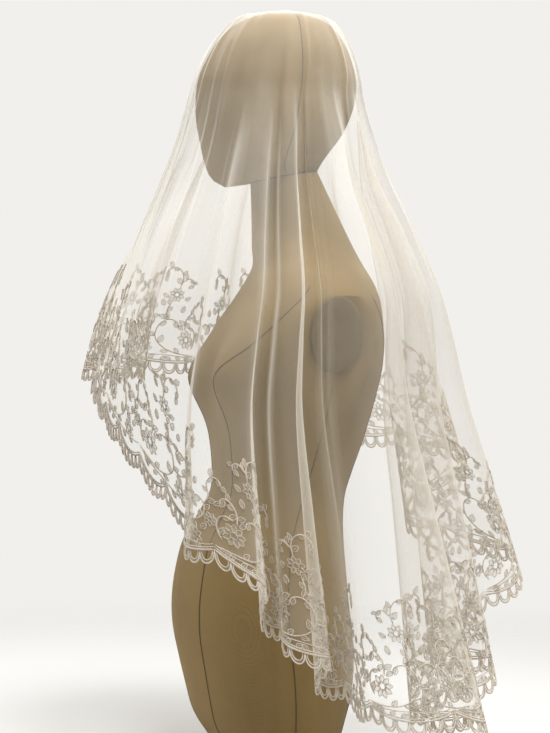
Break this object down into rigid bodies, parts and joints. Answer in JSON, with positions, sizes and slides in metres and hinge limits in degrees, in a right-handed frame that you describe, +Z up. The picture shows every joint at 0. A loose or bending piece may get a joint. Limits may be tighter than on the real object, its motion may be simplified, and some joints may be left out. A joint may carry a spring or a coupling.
{
  "type": "lace-edged bridal veil on a limbless dress form",
  "caption": "Oval sheer bridal veil with a scalloped floral lace edge, draped over the head and shoulders of a fabric-covered dress form that stands on its flat underside.",
  "frame": {"origin": "middle of the form's flat underside", "axes": "+Z up, the form faces -Y, its left is +X"},
  "size_m": [0.6438, 0.5201, 0.9297],
  "materials": {
    "tulle": "sheer ivory net with a soft sheen",
    "lace": "ivory embroidery and cord on net",
    "form_cover": "matt plain-weave beige cover",
    "arm_plate": "matt beige cover drawn over a flat plate"
  },
  "bodies": {
    "root": {"veil_tulle": "tulle", "lace_front": "lace", "lace_left": "lace", "lace_back": "lace", "lace_right": "lace", "form_head": "form_cover", "form_body": "form_cover", "form_arm_plate_left": "arm_plate", "form_arm_plate_right": "arm_plate"}
  },
  "joints": []
}
